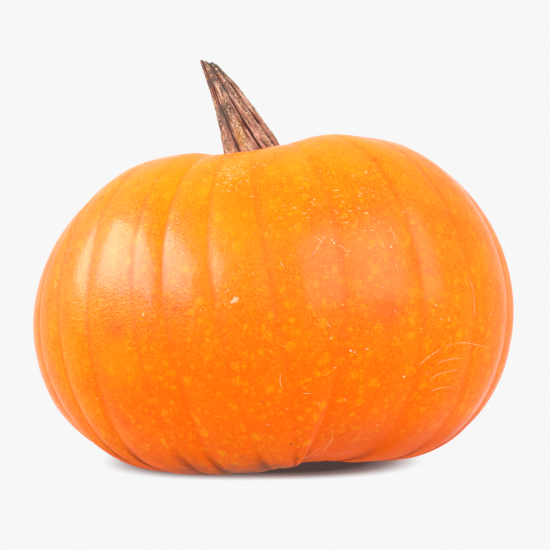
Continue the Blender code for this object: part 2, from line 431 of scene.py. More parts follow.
def skin_freckles(skin, colour):
    """Soft yellow freckles in three sizes, and the fine net that lies between them."""
    wander = skin.place + skin.jitter(skin.place, 240.0, 0.0018)
    for freckles in FRECKLES:
        distance, size = skin.cells(wander, freckles.scale)
        edge = (size * 0.6 + 0.4) * freckles.largest
        spot = skin.ease(distance, edge, edge * 0.55) * skin.ease(size, 0.15, 0.55)
        colour = skin.mix(spot * freckles.strength, colour, SKIN_FRECKLE)
    distance, _ = skin.cells(wander, NET_SCALE)
    strong = skin.ease(skin.noise(skin.place, 70.0, 2.0), 0.35, 0.60, 0.20, 0.55)
    strong = strong * skin.ease(skin.read("polar"), 0.70, 1.20, 0.75, 1.0)
    return skin.mix(skin.ease(distance, 0.35, 0.65) * strong, colour, SKIN_NET)


def skin_line(skin):
    """How close the skin is to the bottom of a groove, from 0 to 1, and nothing at the crown."""
    return skin.ease(skin.read("groove"), 0.11, 0.0) * skin.ease(skin.read("polar"), 0.35, 0.9)


def skin_patches(skin, colour):
    """A golden patch and three reddish ones on the front."""
    x, y, height = skin.split(skin.place)
    front = skin.ease(y, *PATCH_FRONT)
    for patch in PATCHES:
        spot = skin.spot((x - patch.x) / patch.reach, (height - patch.height) / patch.reach)
        colour = skin.mix(spot * front * patch.strength, colour, patch.colour)
    return colour


def skin_colour(skin):
    """Ground colour, freckles, patches, blushes and the deeper line in each groove."""
    colour = skin_patches(skin, skin_freckles(skin, skin_ground(skin, skin.read("polar"))))
    blush = skin.ease(skin.noise(skin.place, 52.0, 2.0), 0.66, 0.80)
    colour = skin.mix(blush * 0.55, colour, SKIN_BLUSH)
    return skin.mix(skin_line(skin) * 0.40, colour, SKIN_GROOVE)


def skin_painted_shade(skin, colour):
    """Painted shade low down: a deeper red, dark creases, and a grey brown contact shade by the ground.
    """
    x, y, height = skin.split(skin.place)
    cloud = skin.noise(skin.place, 90.0, 4.0, 0.65) - 0.5
    low = height + cloud * 0.006 - skin.ease(x, -0.005, 0.030) * 0.012
    # painted shade: a deeper red low down, reaching higher on the right
    colour = skin.mix(skin.ease(low, *LOW_SHADE_HEIGHTS) * 0.65, colour, SKIN_LOW_SHADE)
    # painted shade: dark creases near the ground
    crease_shade = skin.ease(skin.read("groove"), 0.20, 0.0) * skin.ease(height, *CREASE_SHADE_HEIGHTS)
    colour = skin.mix(crease_shade * 0.80, colour, SKIN_CREASE_SHADE)
    # painted contact shade: grey brown where the ribs meet the ground, in patches
    contact_shade = skin.ease(height + cloud * 0.016, *CONTACT_SHADE_HEIGHTS)
    patch = skin.noise(skin.place, 60.0, 4.0, 0.6)
    front = skin.ease(x, 0.025, 0.000) * skin.ease(x, -0.048, -0.028) * skin.ease(y, -0.014, -0.030)
    front = front * skin.ease(patch, 0.34, 0.54, 0.40, 0.80)
    shade_patches = skin.ease(patch, 0.48, 0.68) * 0.40
    return skin.mix(contact_shade * skin.most(front, shade_patches), colour, SKIN_CONTACT_SHADE)


# %% Put the skin's finish together
def make_skin():
    """Colour, wax and grain. Near the ground the wax has worn off."""
    skin = Finish("pumpkin_skin", SKIN_CONSTANTS)
    skin.feed("Base Color", skin_painted_shade(skin, skin_colour(skin)))
    line = skin_line(skin)
    _, _, height = skin.split(skin.place)
    dull = skin.ease(height, *DULL_HEIGHTS)
    cloud = skin.noise(skin.place, 60.0, 3.0)
    skin.feed("Roughness", skin.ramp(cloud, 0.3, 0.7, 0.26, 0.35) + line * 0.12 + dull * 0.30)
    wax = skin.ramp(skin.noise(skin.place, 90.0, 3.0), 0.3, 0.7, 0.45, 0.80)
    skin.feed("Coat Weight", wax * (1.0 - line * 0.6) * (1.0 - dull * 0.9))
    grain = skin.noise(skin.place, GRAIN_SCALE, 2.0, 0.6)
    dimple, _ = skin.cells(skin.place + skin.jitter(skin.place, 1100.0, 0.0007), NET_SCALE)
    ripple = skin.noise(skin.place, RIPPLE_SCALE, 2.0)
    skin.bump(grain * 0.07 + skin.ease(dimple, 0.70, 0.10) * 0.38 + ripple * 0.60, SKIN_BUMP)
    return skin.material


skin_finish = make_skin()
print("skin finish has", len(skin_finish.node_tree.nodes), "nodes")

# %% [markdown]
# ## The grooves
#
# Between two ribs the skin is drawn in along a line that runs from stem to blossom end. No two
# lines are alike: each has its own place, leans or bows, and cuts deeper or less deep. The eleven
# front lines are driving sizes; those at the back are spread evenly with a seeded jitter. The
# numbers are the CAD source's own, kept on a small cloud of points that the shape tree looks up.

# %% Groove table
Groove = namedtuple("Groove", "azimuth sway bow depth high low")
FRONT_GROOVES = (
    Groove(196.0, -1.0, -3.0, 0.0014, 0.0001, 0.0001),
    Groove(209.0, -0.5, -8.0, 0.0019, 0.0018, 0.0004),
    Groove(221.0, -2.0, -7.0, 0.0024, 0.0019, 0.0010),
    Groove(236.0, 1.0, 0.0, 0.0007, 0.0002, 0.0010),
    Groove(244.0, 1.5, 0.0, 0.0028, -0.0020, 0.0004),
    Groove(256.5, 4.0, 3.0, 0.0019, -0.0024, -0.0012),
    Groove(270.3, 4.5, 1.0, 0.0023, -0.0025, -0.0017),
    Groove(286.5, -4.0, -3.0, 0.0038, -0.0008, -0.0042),
    Groove(307.0, -0.5, 0.0, 0.0026, 0.0022, -0.0013),
    Groove(323.5, 2.0, 2.0, 0.0016, 0.0018, -0.0003),
    Groove(346.0, 0.0, 6.0, 0.0030, 0.0008, -0.0008),
)
BACK_GROOVE_COUNT = 12
BACK_AZIMUTH_JITTER = 2.5
BACK_DEPTHS = (0.0016, 0.0028)
BACK_HANG = 0.0016
BACK_HANG_TOWARDS = 350.0
BACK_SEED = 11


def all_grooves():
    """The grooves in turn order: the front ones as drawn, the back ones spread evenly with jitter."""
    chance = random.Random(BACK_SEED)
    first, last = FRONT_GROOVES[0], FRONT_GROOVES[-1]
    spacing = (first.azimuth + 360.0 - last.azimuth) / (BACK_GROOVE_COUNT + 1)
    back = []
    for number in range(1, BACK_GROOVE_COUNT + 1):
        azimuth = last.azimuth + spacing * number
        azimuth += chance.uniform(-BACK_AZIMUTH_JITTER, BACK_AZIMUTH_JITTER)
        hang = BACK_HANG * math.cos(math.radians(azimuth - BACK_HANG_TOWARDS))
        back.append(Groove(azimuth, 0.0, 0.0, chance.uniform(*BACK_DEPTHS), 0.0, hang))
    return list(FRONT_GROOVES) + back


def groove_table(grooves):
    """One point for each groove, with the groove's numbers as attributes."""
    mesh = point_mesh("grooves", [(number * 0.001, 0.0, 0.0) for number in range(len(grooves))])
    for label in Groove._fields:
        layer = mesh.attributes.new(label, "FLOAT", "POINT")
        for point, groove in zip(layer.data, grooves):
            point.value = getattr(groove, label)
    return mesh


grooves = all_grooves()
table_mesh = groove_table(grooves)
print(len(grooves), "grooves, deepest", 1000.0 * max(groove.depth for groove in grooves), "mm")

# %% [markdown]
# ## The fruit
#
# A grid is wrapped round into a ball: one side of the grid runs round the waist, the other from
# crown to blossom end. The profile is a flattened power of a sine with a dish at each end. The
# ribs then push the skin in or out along its own normal, and last the whole ball leans and its
# underside is pressed flat where it lies. A rule like this is easier to trust than sculpting,
# because every rib can be found again by its number.

# %% Fruit sizes
SEAT_POLAR = math.pi / 32.0
FRUIT_SIZES = {
    "Waist radius": 0.0981, "Half height": 0.0728, "Crown lift": 0.0055,
    "Fullness": 0.737, "Fullness skew": 0.095, "Ovalness": 0.026, "Right shoulder": 0.049,
    "Crown dish depth": 0.0155, "Crown dish width": 0.039,
    "Blossom dish depth": 0.0147, "Blossom dish width": 0.0389,
    "Centre height": 0.0611, "Lean left": math.radians(5.8), "Lean back": math.radians(9.75),
    "Lump height": 0.0009, "Strand height": 0.0007,
    "Ribs": len(grooves), "Columns": len(grooves) * 18 + 1, "Rows": 225,
    "Skin": skin_finish,
}
SETTLED_SHARE = 0.475
SETTLE_FROM = math.radians(95.0)
SETTLE_TO = math.radians(155.0)
GROOVE_EDGE = 0.035
GROOVE_POWER = 3.0
DEPTH_AT_WAIST = 0.60
DEPTH_GAIN_BELOW = 0.45
DEPTH_LOSS_ABOVE = 0.25
GAIN_POWER = 1.5
LINE_REACH = 60.0
LINE_LIMIT = 1.2
HIGH_FROM, HIGH_OVER = 80.0, 45.0
LOW_FROM, LOW_OVER = 112.0, 35.0
LOW_BLEND = 0.3
GROOVES_FADE_IN = 0.80
RIBS_FADE_IN = 0.3
COLUMN_CROWDING = 0.08
LUMP_SCALE = 30.0
STRAND_SCALE = 9.0
STREAK_RISE = 0.15
print(len(FRUIT_SIZES), "inputs for the fruit")


# %% The fruit's steps
class FruitTree(ShapeTree):
    """The steps from a grid to a ribbed fruit."""

    def groove(self, label, number):
        """A number of one groove, from the table that the tree starts from."""
        wrapped = self.maths("MODULO", number, self.given["Ribs"])
        table = {"Geometry": self.given["Geometry"], "Value": self.read(label), "Index": wrapped}
        return self.add("GeometryNodeSampleIndex", {"data_type": "FLOAT", "domain": "POINT"}, table)

    def line(self, number, polar):
        """Azimuth in degrees of a groove's line at a polar angle."""
        level = (polar * (180.0 / math.pi) - 90.0) / LINE_REACH
        level = self.most(self.least(level, LINE_LIMIT), -LINE_LIMIT)
        lap = self.maths("FLOOR", number / self.given["Ribs"])
        return (self.groove("azimuth", number) + self.groove("sway", number) * level
                + self.groove("bow", number) * level * level + lap * 360.0)

    def profile(self, azimuth, polar):
        """Radius and height of the smooth fruit, with a level seat for the stem."""
        size = self.given
        seated = self.most(polar, SEAT_POLAR)
        cosine, sine = self.cosine(polar), self.most(self.sine(polar), 0.0)
        seated_cosine, seated_sine = self.cosine(seated), self.most(self.sine(seated), 0.0)
        girth = size["Waist radius"] * (size["Ovalness"] * self.cosine(azimuth * 2.0) + 1.0)
        radius = girth * sine ** (size["Fullness"] + size["Fullness skew"] * cosine)
        seated_power = size["Fullness"] + size["Fullness skew"] * seated_cosine
        reach = size["Waist radius"] * seated_sine ** seated_power
        height = size["Half height"] * seated_cosine + size["Crown lift"] * seated_cosine * seated_cosine
        height = height * (size["Right shoulder"] * self.cosine(azimuth) * sine * sine + 1.0)
        upper = self.maths("GREATER_THAN", seated_cosine, 0.0)
        crown = self.dish(reach, size["Crown dish depth"], size["Crown dish width"]) * upper
        blossom = self.dish(reach, size["Blossom dish depth"], size["Blossom dish width"])
        return radius, height - crown + blossom * (1.0 - upper)

    def dish(self, reach, depth, width):
        """How far a dish has sunk at a distance from its middle."""
        share = reach / width
        return depth * self.maths("EXPONENT", share * share * -1.0)

    def notch(self, distance):
        """Depth share of a groove at a distance from it, with a round bottom."""
        rounded = self.maths("SQRT", distance * distance + GROOVE_EDGE ** 2) - GROOVE_EDGE
        return (1.0 - self.least(rounded, 1.0)) ** GROOVE_POWER

    def low_level(self, rib, share):
        """Level of a rib at the underside, blended with its neighbours' levels across the grooves."""
        level = self.groove("low", rib)
        before = (self.groove("low", rib + (self.given["Ribs"] - 1.0)) - level) * 0.5
        after = (self.groove("low", rib + 1.0) - level) * 0.5
        before = before * self.ease(share, LOW_BLEND, 0.0)
        return level + before + after * self.ease(1.0 - share, LOW_BLEND, 0.0)

    def relief(self, rib, share, polar):
        """How far the skin stands off the profile."""
        degrees = polar * (180.0 / math.pi)
        clear = self.sine(polar) - math.sin(SEAT_POLAR)
        lower = self.most(self.cosine(polar) * -1.0, 0.0) ** GAIN_POWER
        upper = self.most(self.cosine(polar), 0.0) ** GAIN_POWER
        cut = self.groove("depth", rib) * self.notch(share)
        cut = cut + self.groove("depth", rib + 1.0) * self.notch(1.0 - share)
        cut = cut * (lower * DEPTH_GAIN_BELOW - upper * DEPTH_LOSS_ABOVE + DEPTH_AT_WAIST)
        cut = cut * self.ease(clear, 0.0, GROOVES_FADE_IN)
        high = self.groove("high", rib) * (1.0 - share) + self.groove("high", rib + 1.0) * share
        full = high * self.ease(degrees, HIGH_FROM, HIGH_FROM - HIGH_OVER)
        full = full + self.low_level(rib, share) * self.ease(degrees, LOW_FROM, LOW_FROM + LOW_OVER)
        return full * self.ease(clear, 0.0, RIBS_FADE_IN) - cut

    def small_forms(self):
        """Low lumps, and strands that run from crown to blossom end, as a height."""
        size = self.given
        lumps = self.noise(self.position(), LUMP_SCALE, 2.0) - 0.5
        strands = self.noise(self.read("streak", "FLOAT_VECTOR"), STRAND_SCALE, 2.0) - 0.5
        clear = self.ease(self.sine(self.read("polar")), 0.10, 0.45)
        return (lumps * size["Lump height"] + strands * size["Strand height"]) * clear

    def lean(self, point, polar):
        """Tip a point to the left and away, less so below the waist."""
        share = self.ease(polar, SETTLE_FROM, SETTLE_TO, 1.0, 1.0 - SETTLED_SHARE)
        for axis, label in (("Y_AXIS", "Lean left"), ("X_AXIS", "Lean back")):
            angle = self.given[label] * share * -1.0
            point = self.add("ShaderNodeVectorRotate", {"rotation_type": axis},
                             {"Vector": point, "Angle": angle})
        return point

    def settle(self, shape):
        """Lean the fruit, press it flat where it lies, and centre its box over the origin."""
        leant = self.lean(self.position(), self.read("polar"))
        x, y, z = self.split(leant + self.vector(0.0, 0.0, self.given["Centre height"]))
        shape = self.set_position(shape, self.vector(x, y, self.most(z, 0.0)))
        low, high = self.add("GeometryNodeBoundBox", {}, {"Geometry": shape}, ("Min", "Max"))
        x, y, _ = self.split((low + high) * -0.5)
        return self.set_position(shape, self.position() + self.vector(x, y, 0.0))


# %% Grow the fruit
def fruit_tree():
    """Build the tree, from the grid to the settled fruit."""
    tree = FruitTree("ribbed_fruit", FRUIT_SIZES)
    size = tree.given
    shape, turn, rise = tree.grid(size["Columns"], size["Rows"])
    polar = (1.0 - rise) * math.pi
    place = turn * size["Ribs"]
    rib = tree.maths("FLOOR", place)
    share = place - rib
    share = share - tree.sine(share * math.tau) * COLUMN_CROWDING
    start, end = tree.line(rib, polar), tree.line(rib + 1.0, polar)
    azimuth = (start + (end - start) * share) * (math.pi / 180.0)
    radius, height = tree.profile(azimuth, polar)
    cosine, sine = tree.cosine(azimuth), tree.sine(azimuth)
    shape = tree.store(shape, "relief", tree.relief(rib, share, polar))
    shape = tree.store(shape, "groove", tree.least(share, 1.0 - share))
    shape = tree.store(shape, "polar", polar)
    shape = tree.store(shape, "streak", tree.vector(cosine, sine, polar * STREAK_RISE), "FLOAT_VECTOR")
    upright = tree.vector(radius * cosine, radius * sine, height)
    shape = tree.weld(tree.set_position(shape, upright))
    normal = tree.add("GeometryNodeInputNormal")
    relief = tree.read("relief") + tree.small_forms()
    shape = tree.set_position(shape, tree.position() + normal * relief)
    tree.end(tree.settle(shape), size["Skin"])
    return tree


fruit = fruit_tree().make("fruit_skin", table_mesh)

# %% [markdown]
# ## The stem's finish
#
# The stalk dried after it was cut. Its crests turned brown and carry the bases of old prickles,
# and the faces shrank and bleached to a pinkish tan. The bottom of each flute is darkened to near
# black by painted shade, and the same dark colour marks dark fibres. Fibres run the whole length,
# so their pattern is read from a coordinate that is squeezed along the stem. Weather greyed the
# left side, and an old gold patch is left low in front.

# %% Stem colours
STEM_FACE = (0.420, 0.190, 0.130, 1.0)
STEM_PALE = (0.680, 0.440, 0.340, 1.0)
STEM_BLEACHED = (0.780, 0.570, 0.450, 1.0)
STEM_CREST = (0.260, 0.135, 0.075, 1.0)
STEM_RUST = (0.230, 0.070, 0.042, 1.0)
# Dark fibres, and the painted shade in the bottom of each flute.
STEM_DARK_AND_FLUTE_SHADE = (0.050, 0.013, 0.009, 1.0)
STEM_GREY = (0.100, 0.080, 0.068, 1.0)
STEM_GOLD = (0.400, 0.190, 0.020, 1.0)
STEM_PITH = (0.040, 0.030, 0.025, 1.0)
STEM_CONSTANTS = {"IOR": 1.10}
FIBRE_SCALE = 900.0
STREAK_SCALE = 640.0
BUNDLE_SCALE = 420.0
CRUMB_SCALE = 2200.0
STEM_BUMP = 0.00050
WEATHER_SCALE = 190.0
GREY_SIDE = (-0.013, -0.022)
GREY_TIP = (0.158, 0.166)
GOLD_X, GOLD_HEIGHT = -0.0150, 0.1340
GOLD_WIDTH, GOLD_TALL = 0.0028, 0.0065
print("gold patch at", in_mm((GOLD_X, GOLD_HEIGHT)), "mm")


# %% Put the stem's finish together
def stem_patches(stem, colour):
    """Weathered grey on the left, old gold low in front, and the dark torn end."""
    x, _, height = stem.split(stem.place)
    weathered = stem.ease(stem.noise(stem.place, WEATHER_SCALE, 4.0, 0.6), 0.42, 0.60)
    colour = stem.mix(stem.ease(x, *GREY_SIDE) * weathered * 0.75, colour, STEM_GREY)
    colour = stem.mix(stem.ease(height, *GREY_TIP) * weathered * 0.70, colour, STEM_GREY)
    gold = stem.spot((x - GOLD_X) / GOLD_WIDTH, (height - GOLD_HEIGHT) / GOLD_TALL)
    colour = stem.mix(gold * stem.ease(stem.read("ridge"), 0.50, 0.80), colour, STEM_GOLD)
    return stem.mix(stem.ease(stem.read("pith"), 0.02, 0.30), colour, STEM_PITH)


def make_stem_finish():
    """Fibres and streaks along the stem, darker crests, painted shade in the flutes, and the patches over
    them.
    """
    stem = Finish("dry_stem", STEM_CONSTANTS)
    grain = stem.read("grain", "Vector")
    ridge = stem.read("ridge")
    fibre = stem.noise(grain, FIBRE_SCALE, 4.0, 0.65)
    bundle = stem.noise(grain + (0.03, 0.0, 0.0), BUNDLE_SCALE, 3.0, 0.6)
    crumb = stem.noise(stem.place, CRUMB_SCALE, 3.0, 0.7)
    colour = stem.mix(stem.ease(bundle, 0.38, 0.58), STEM_RUST, STEM_FACE)
    colour = stem.mix(stem.ease(ridge, 0.88, 0.99) * 0.80, colour, STEM_CREST)
    colour = stem.mix(stem.ease(fibre + (crumb - 0.5) * 0.40, 0.51, 0.66) * 0.85, colour, STEM_PALE)
    colour = stem.mix(stem.ease(fibre + (crumb - 0.5) * 0.30, 0.48, 0.34) * 0.90, colour, STEM_DARK_AND_FLUTE_SHADE)
    streak = stem.noise(grain + (0.0, 0.07, 0.0), STREAK_SCALE, 2.0)
    colour = stem.mix(stem.ease(streak + (crumb - 0.5) * 0.25, 0.60, 0.70) * 0.80, colour, STEM_BLEACHED)
    # painted shade: the bottom of each flute is darkened
    colour = stem.mix(stem.ease(ridge, 0.48, 0.10) * 0.92, colour, STEM_DARK_AND_FLUTE_SHADE)
    stem.feed("Base Color", stem_patches(stem, colour))
    stem.feed("Roughness", stem.ramp(fibre, 0.3, 0.7, 0.62, 0.85))
    stem.bump(fibre * 0.6 + crumb * 0.4, STEM_BUMP)
    return stem.material


stem_finish = make_stem_finish()
print("stem finish has", len(stem_finish.node_tree.nodes), "nodes")

# %% [markdown]
# ## The stem
#
# The stem is a tube that changes all the way up: wide and star shaped at the foot, bent to the
# left, twisted a little, and cut off on a slant with a torn rim and a sunken pith. A sweep along
# a curve would keep one profile, so the tube is a second grid whose rings follow a cubic path and
# whose radius is a formula of the angle. Flutes, fibres and the torn rim are all in the mesh.

# %% Stem sizes
STEM_GAP = 0.0004
STEM_FOOT_RADIUS = 0.0130
STEM_SIZES = {
    "Seat": Vector((0.0, 0.0, 0.0)), "Seat normal": Vector((0.0, 0.0, 1.0)),
    "Path first": Vector((-0.0069, 0.0020, 0.0148)),
    "Path second": Vector((-0.0103, 0.0034, 0.0258)),
    "Path end": Vector((-0.0206, 0.0030, 0.0434)),
    "Foot radius": STEM_FOOT_RADIUS, "Tip radius": 0.0026, "Taper": 0.8, "Sink": 0.0016,
    "Flute depth foot": 0.24, "Flute depth tip": 0.14, "Twist": math.radians(28.0),
    "Foot flare": 0.0008, "Fibre height": 0.0013, "Knob height": 0.0012, "Torn rim": 0.0045,
    "Pith depth": 0.0026, "Rings": 240, "Sides": 361, "Finish": stem_finish,
}
STEM_RIDGES = 8
RIDGE_UNEVENNESS = 0.10
RIDGE_PHASE = 0.7
FLUTE_SHARPNESS = 0.75
SEAT_BLEND = 0.25
CUT_FROM = 0.72
CUT_SLANT = 0.92
FOOT_SHARE = 0.02
BODY_SHARE = 0.90
FLARE_REACH = 0.05
SINK_REACH = 0.03
GRAIN_GIRTH = 0.010
GRAIN_SQUEEZE = 0.008
FIBRE_RELIEF_SCALE = 620.0
KNOB_SCALE = 330.0
TEAR_SCALE = 210.0
TEAR_BESIDE_CUT = (0.90, 1.0)
TEAR_INTO_PITH = (0.3, 0.9)
PITH_SLOPE = (0.15, 0.55)
print(len(STEM_SIZES), "inputs for the stem")


# %% The stem's steps
def find_pole(piece, pick):
    """The skin's point at one end of the fruit: min finds the stem's end, max the blossom's."""
    polar = piece.data.attributes["polar"].data
    return piece.data.vertices[pick(range(len(polar)), key=lambda number: polar[number].value)]


class StemTree(ShapeTree):
    """The steps from a grid to a fluted stalk. The foot has 0 progress, and the cut has 1."""

    def path(self, progress):
        """Point and direction on a cubic curve that starts at the seat."""
        first, second, end = (self.given["Path " + name] for name in ("first", "second", "end"))
        rest = 1.0 - progress
        point = (first * (rest * rest * progress * 3.0) + second * (rest * progress * progress * 3.0)
                 + end * (progress * progress * progress))
        heading = (first * (rest * rest) + (second - first) * (rest * progress * 2.0)
                   + (end - second) * (progress * progress))
        heading = self.maths("NORMALIZE", heading)
        blend = self.ease(progress, 0.0, SEAT_BLEND)
        heading = self.given["Seat normal"] * (1.0 - blend) + heading * blend
        return point, self.maths("NORMALIZE", heading)

    def ridge(self, angle, progress):
        """Angle that follows the twisted ridges, and 0 in a flute to 1 on a crest."""
        turned = angle + self.given["Twist"] * progress
        turned = turned + self.sine(turned * 2.0 + RIDGE_PHASE) * RIDGE_UNEVENNESS
        crest = self.maths("ABSOLUTE", self.cosine(turned * (STEM_RIDGES / 2.0)))
        return turned, crest ** FLUTE_SHARPNESS

    def surface(self, progress, crest, grain):
        """Distance from the stem's middle line."""
        size = self.given
        taper = (1.0 - progress) ** size["Taper"]
        radius = size["Tip radius"] + (size["Foot radius"] - size["Tip radius"]) * taper
        radius = radius + size["Foot flare"] * self.maths("EXPONENT", progress * (-1.0 / FLARE_REACH))
        depth = size["Flute depth tip"] + (size["Flute depth foot"] - size["Flute depth tip"]) * taper
        reach = radius * (1.0 - depth * (1.0 - crest))
        strong = radius * (1.0 / STEM_FOOT_RADIUS) * 0.6 + 0.4
        fibres = self.noise(grain, FIBRE_RELIEF_SCALE, 4.0, 0.6) - 0.5
        knobs = self.noise(grain, KNOB_SCALE, 2.0) - 0.5
        return reach + (fibres * size["Fibre height"] + knobs * size["Knob height"]) * strong

    def lift(self, progress, pith, grain, sideways):
        """How far a point moves along the stem: torn rim, slanted cut, sunken pith, sunken foot."""
        size = self.given
        slant = self.ease(progress, CUT_FROM, 1.0, 0.0, CUT_SLANT)
        tear = (self.noise(grain, TEAR_SCALE, 3.0) - 0.5) * self.ease(progress, *TEAR_BESIDE_CUT)
        tear = tear * (1.0 - self.ease(pith, *TEAR_INTO_PITH)) * size["Torn rim"]
        lift = tear - slant * sideways - self.ease(pith, *PITH_SLOPE) * size["Pith depth"]
        return lift - size["Sink"] * self.maths("EXPONENT", progress * (-1.0 / SINK_REACH))


# %% Grow the stem
def stem_tree(seat, seat_normal):
    """Build the tree, from the grid to the torn cut."""
    sizes = dict(STEM_SIZES)
    sizes["Seat"] = seat + seat_normal * STEM_GAP
    sizes["Seat normal"] = seat_normal
    tree = StemTree("fluted_stem", sizes)
    size = tree.given
    shape, turn, rise = tree.grid(size["Sides"], size["Rings"])
    angle = turn * math.tau
    foot = tree.ramp(rise, 0.0, FOOT_SHARE)
    progress = tree.ramp(rise, FOOT_SHARE, BODY_SHARE)
    pith = tree.ramp(rise, BODY_SHARE, 1.0)
    turned, crest = tree.ridge(angle, progress)
    cosine, sine = tree.cosine(turned), tree.sine(turned)
    grain = tree.vector(cosine * GRAIN_GIRTH, sine * GRAIN_GIRTH, progress * GRAIN_SQUEEZE)
    centre, heading = tree.path(progress)
    across = tree.maths("NORMALIZE", tree.maths("CROSS_PRODUCT", (0.0, 1.0, 0.0), heading))
    away = tree.maths("CROSS_PRODUCT", heading, across)
    reach = tree.surface(progress, crest, grain) * foot * (1.0 - pith)
    sideways = reach * tree.cosine(angle)
    place = size["Seat"] + centre + across * sideways + away * (reach * tree.sine(angle))
    place = place + heading * tree.lift(progress, pith, grain, sideways)
    for label, value in (("ridge", crest), ("along", progress), ("pith", pith)):
        shape = tree.store(shape, label, value)
    shape = tree.store(shape, "grain", grain, "FLOAT_VECTOR")
    tree.end(tree.weld(tree.set_position(shape, place)), size["Finish"])
    return tree


seat = find_pole(fruit, min).co.copy()
lean_left = Matrix.Rotation(-FRUIT_SIZES["Lean left"], 3, "Y")
lean_back = Matrix.Rotation(-FRUIT_SIZES["Lean back"], 3, "X")
seat_normal = (lean_back @ lean_left) @ Vector((0.0, 0.0, 1.0))
grid_start = point_mesh("start", [(0.0, 0.0, 0.0)])
stem = stem_tree(seat, seat_normal).make("stem_stalk", grid_start)
print("seat at", in_mm(seat), "mm")

# %% [markdown]
# ## Prickle bases on the stem
#
# A young stalk is bristly. When it dries the bristles break off and leave rows of pale, hard bases
# on the crests. They are the brightest thing on the stem, and far too small and many to place by
# hand, so points are scattered where the stored ridge value is high, and each gets a small bead of
# twenty faces with a size and turn of its own.

# %% Prickle bases
PRICKLE_COLOUR = (0.80, 0.62, 0.44, 1.0)
PRICKLE_DARK = (0.50, 0.30, 0.14, 1.0)
PRICKLE_SIZES = {"Density": 2400000.0, "Smallest": 0.00011, "Largest": 0.00033, "Seed": 5}
STRETCH_SEED = 99
SHORTEST = 0.8


def plain_finish(name, first, second, scale, roughness):
    """Two colours that change in patches."""
    finish = Finish(name, {"IOR": 1.12})
    patch = finish.noise(finish.place, scale, 2.0)
    finish.feed("Base Color", finish.mix(finish.ease(patch, 0.40, 0.60), first, second))
    finish.feed("Roughness", finish.ramp(patch, 0.3, 0.7, roughness, roughness + 0.15))
    return finish.material


class ScatterTree(ShapeTree):
    """Small beads on a surface."""

    def chance(self, low, high, seed):
        """A random number for each point."""
        return self.add("FunctionNodeRandomValue", {"data_type": "FLOAT"},
                        {"Min": low, "Max": high, "Seed": seed}, "Value")

    def stand(self, points, rotation, girth, stretch, flatness, roundness=1):
        """Put a bead on each point, drawn out along the skin and flattened onto it."""
        bead = self.add("GeometryNodeMeshIcoSphere", {}, {"Radius": 1.0, "Subdivisions": roundness},
                        "Mesh")
        scale = self.vector(girth * stretch, girth, girth * flatness)
        return self.add("GeometryNodeInstanceOnPoints", {},
                        {"Points": points, "Instance": bead, "Rotation": rotation, "Scale": scale})

    def beads(self, density, flatness, longest):
        """Scatter beads of random size over the given skin, with a density per square metre."""
        size = self.given
        points, _, rotation = self.add(
            "GeometryNodeDistributePointsOnFaces", {},
            {"Mesh": size["Geometry"], "Density": density, "Seed": size["Seed"]},
            ("Points", "Normal", "Rotation"))
        girth = self.chance(size["Smallest"], size["Largest"], size["Seed"])
        stretch = self.chance(SHORTEST, longest, STRETCH_SEED)
        return self.stand(points, rotation, girth, stretch, flatness)


def prickle_tree(sizes):
    """Beads on the crests, not at the foot or on the cut, and in patches."""
    tree = ScatterTree("prickle_bases", sizes)
    size = tree.given
    crest = tree.ease(tree.read("ridge"), 0.86, 0.98)
    outside = tree.ease(tree.read("pith"), 0.30, 0.05) * tree.ease(tree.read("along"), 0.02, 0.06)
    uneven = tree.ease(tree.noise(tree.position(), 240.0, 2.0), 0.36, 0.60)
    density = size["Density"] * crest * outside * uneven
    tree.end(tree.beads(density, flatness=0.8, longest=1.6), size["Finish"])
    return tree


prickle_finish = plain_finish("prickle_bases", PRICKLE_COLOUR, PRICKLE_DARK, scale=900.0, roughness=0.5)
prickle_sizes = {**PRICKLE_SIZES, "Finish": prickle_finish}
prickles = prickle_tree(prickle_sizes).make("stem_prickles", stem.data.copy())

# %% [markdown]
# ## Healed scratches
#
# Where a leaf stalk or a stone scratched the young fruit, the skin healed as a thin pale welt of
# cork. In the photograph a family of them lies on the right and a forked one below the crown. Each
# is drawn as a few points seen from the front, in millimetres of x and height. The tree smooths
# each line, drops it onto the skin along the view, sinks it so that only its back stands out, and
# tapers its ends.

